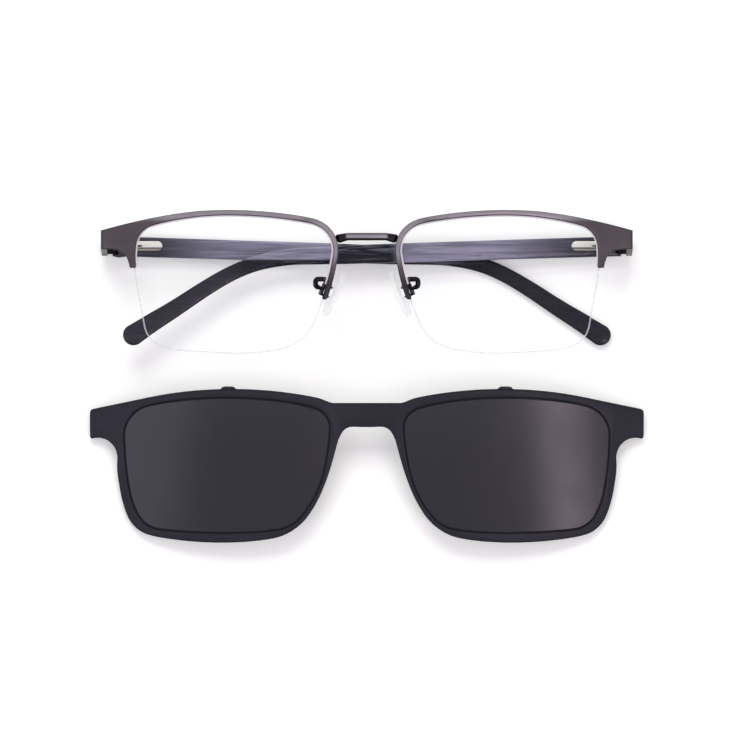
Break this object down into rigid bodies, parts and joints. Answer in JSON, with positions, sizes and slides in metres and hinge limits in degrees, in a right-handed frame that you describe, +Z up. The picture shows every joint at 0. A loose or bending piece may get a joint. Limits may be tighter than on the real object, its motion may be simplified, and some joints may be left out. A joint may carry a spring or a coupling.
{
  "type": "glasses with magnetic sun clip",
  "caption": "Half-rim metal glasses lying on their folded spring-hinge temples, with a matching dark sun clip that seats on hidden magnets in the end pieces.",
  "frame": {"origin": "on the table, under the middle of the set's outline", "axes": "+X towards the wearer's left, across both lenses; +Y up the face, from the clip to the glasses; +Z up from the table, out of the front of the lenses"},
  "size_m": [0.1492, 0.0896, 0.022],
  "materials": {
    "brow": "satin",
    "bridge_bar": "gloss",
    "lens": "gloss",
    "nylon_thread": "gloss",
    "front_magnets": "gloss",
    "hinge_leaf": "satin",
    "hinge_screws": "satin",
    "pad_arm": "gloss",
    "pad_screws": "satin",
    "pad_core": "gloss",
    "nose_pad": "gloss",
    "temple": "gloss",
    "spring_box": "satin",
    "spring_slider": "satin",
    "spring_stop": "satin",
    "hinge_spring": "satin",
    "core_wire": "satin",
    "clip_frame": "satin",
    "clip_lens": "gloss",
    "clip_magnets": "gloss"
  },
  "bodies": {
    "front": {"bridge_bar": "bridge_bar", "front_magnets": "front_magnets", "hinge_screws": "hinge_screws", "pad_screws": "pad_screws", "brow_right": "brow", "brow_left": "brow", "lens_right": "lens", "lens_left": "lens", "nylon_thread_right": "nylon_thread", "nylon_thread_left": "nylon_thread", "hinge_leaf_right": "hinge_leaf", "hinge_leaf_left": "hinge_leaf", "pad_arm_right": "pad_arm", "pad_arm_left": "pad_arm"},
    "slider_right": {"spring_slider_right": "spring_slider"},
    "temple_right": {"temple_right": "temple", "core_wire_right": "core_wire", "spring_box_right": "spring_box", "spring_stop_right": "spring_stop", "hinge_spring_right": "hinge_spring"},
    "pad_right": {"nose_pad_right": "nose_pad", "pad_core_right": "pad_core"},
    "slider_left": {"spring_slider_left": "spring_slider"},
    "temple_left": {"temple_left": "temple", "core_wire_left": "core_wire", "spring_box_left": "spring_box", "spring_stop_left": "spring_stop", "hinge_spring_left": "hinge_spring"},
    "pad_left": {"nose_pad_left": "nose_pad", "pad_core_left": "pad_core"},
    "clip": {"clip_frame": "clip_frame", "clip_magnets": "clip_magnets", "clip_lens_right": "clip_lens", "clip_lens_left": "clip_lens"}
  },
  "joints": [
    {"name": "fold_right", "type": "hinge", "parent": "front", "child": "slider_right", "pos_m": [-0.0686, 0.03513, 0.0028], "axis": [0, 1, 0], "range_deg": [0, 90]},
    {"name": "flex_right", "type": "slide", "parent": "slider_right", "child": "temple_right", "axis": [1, 0, 0], "range_m": [0, 0.001], "stiffness_N_per_m": 1500, "springref_m": -0.003, "deforming": ["hinge_spring_right"]},
    {"name": "fold_left", "type": "hinge", "parent": "front", "child": "slider_left", "pos_m": [0.0686, 0.03513, 0.0028], "axis": [0, -1, 0], "range_deg": [0, 94.1]},
    {"name": "flex_left", "type": "slide", "parent": "slider_left", "child": "temple_left", "axis": [-0.9974, 0, 0.0715], "range_m": [0, 0.001], "stiffness_N_per_m": 1500, "springref_m": -0.003, "deforming": ["hinge_spring_left"]},
    {"name": "pad_swivel_right", "type": "hinge", "parent": "front", "child": "pad_right", "pos_m": [-0.01069, 0.02292, 0.01379], "axis": [0.3907, 0.9205, 0], "range_deg": [-12, 12]},
    {"name": "pad_swivel_left", "type": "hinge", "parent": "front", "child": "pad_left", "pos_m": [0.01069, 0.02292, 0.01379], "axis": [-0.3907, 0.9205, 0], "range_deg": [-12, 12]},
    {"name": "clip_lift", "type": "slide", "parent": "front", "child": "clip", "axis": [0, 0, 1], "range_m": [0, 0.06]}
  ]
}
